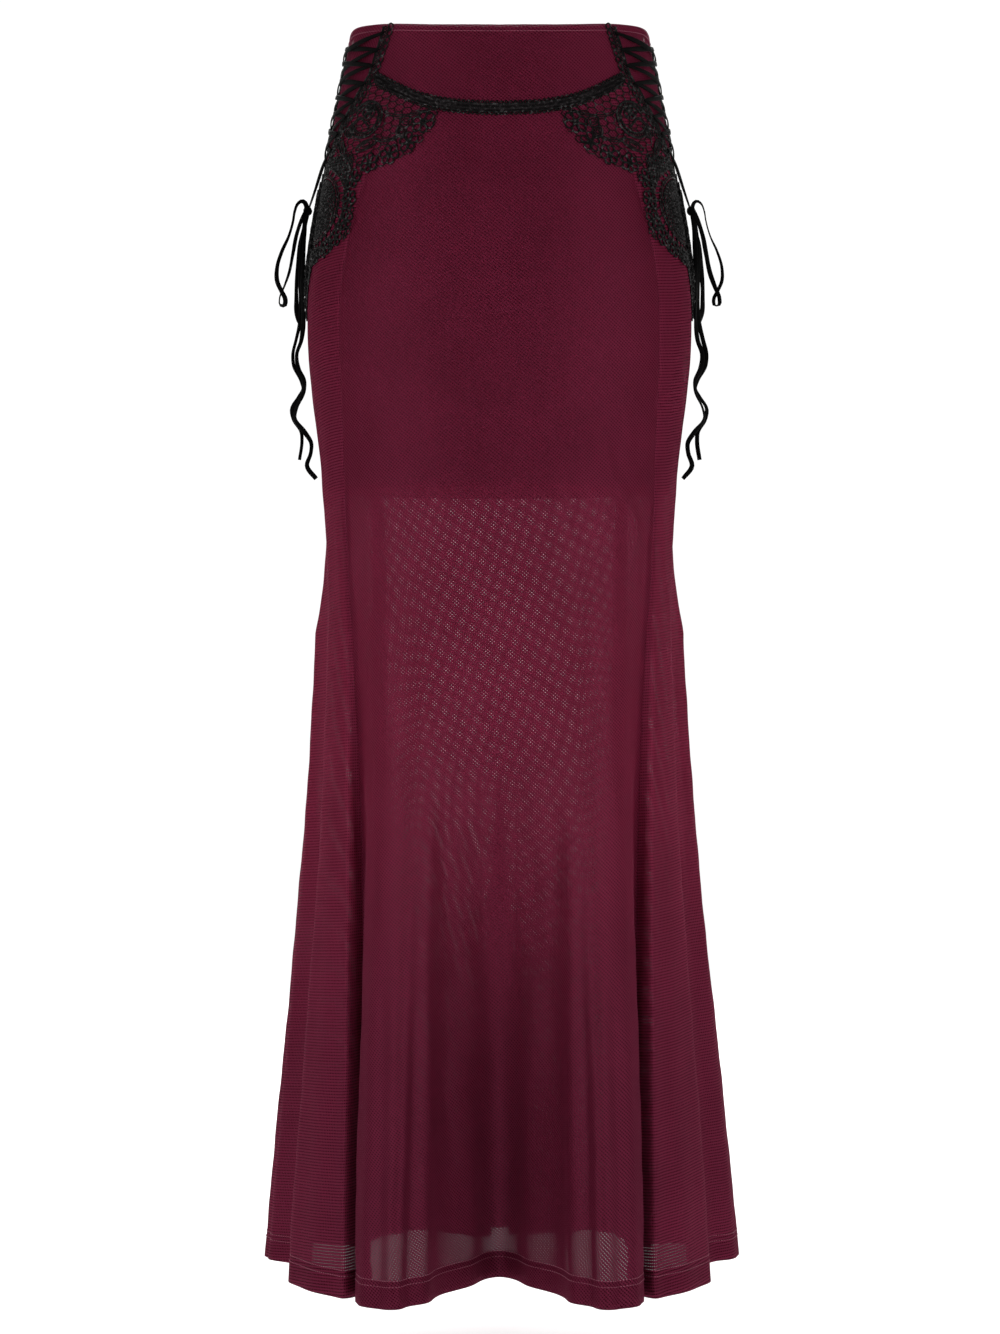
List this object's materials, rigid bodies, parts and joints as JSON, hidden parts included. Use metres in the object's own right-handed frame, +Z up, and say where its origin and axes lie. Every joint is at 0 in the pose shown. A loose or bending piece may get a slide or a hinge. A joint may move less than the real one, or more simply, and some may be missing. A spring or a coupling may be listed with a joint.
{
  "type": "mermaid fishtail skirt",
  "caption": "Long fitted skirt of sheer stretch mesh with a flared fishtail hem, laced hips with lace and braid trim, and a short lining.",
  "frame": {"origin": "middle of the waist opening, at the height of the waist edge at centre front", "axes": "+Z up along the wearer, -Y towards the front, +X towards the wearer's left side"},
  "size_m": [0.3874, 0.4185, 0.9886],
  "materials": {
    "mesh_cloth": "sheer wine-red stretch mesh with a soft sheen",
    "lining_cloth": "matt wine-red knit",
    "black_lace": "corded black lace",
    "black_braid": "flat woven black braid with small loops",
    "black_cord": "soft black cord"
  },
  "bodies": {
    "root": {"front_panel": "mesh_cloth", "side_front_left": "mesh_cloth", "side_front_right": "mesh_cloth", "side_back_left": "mesh_cloth", "side_back_right": "mesh_cloth", "back_panel": "mesh_cloth", "front_yoke": "mesh_cloth", "lacing_insert_left": "mesh_cloth", "lacing_insert_right": "mesh_cloth", "lining": "lining_cloth", "braid": "black_braid", "front_lace_left": "black_lace", "front_lace_right": "black_lace", "back_lace_left": "black_lace", "back_lace_right": "black_lace", "lacing_over_left": "black_cord", "lacing_under_left": "black_cord", "lacing_over_right": "black_cord", "lacing_under_right": "black_cord", "bow_knot_left": "black_cord", "bow_long_loop_left": "black_cord", "bow_short_loop_left": "black_cord", "bow_tail_a_left": "black_cord", "bow_tail_b_left": "black_cord", "bow_knot_right": "black_cord", "bow_long_loop_right": "black_cord", "bow_short_loop_right": "black_cord", "bow_tail_a_right": "black_cord", "bow_tail_b_right": "black_cord"}
  },
  "joints": []
}
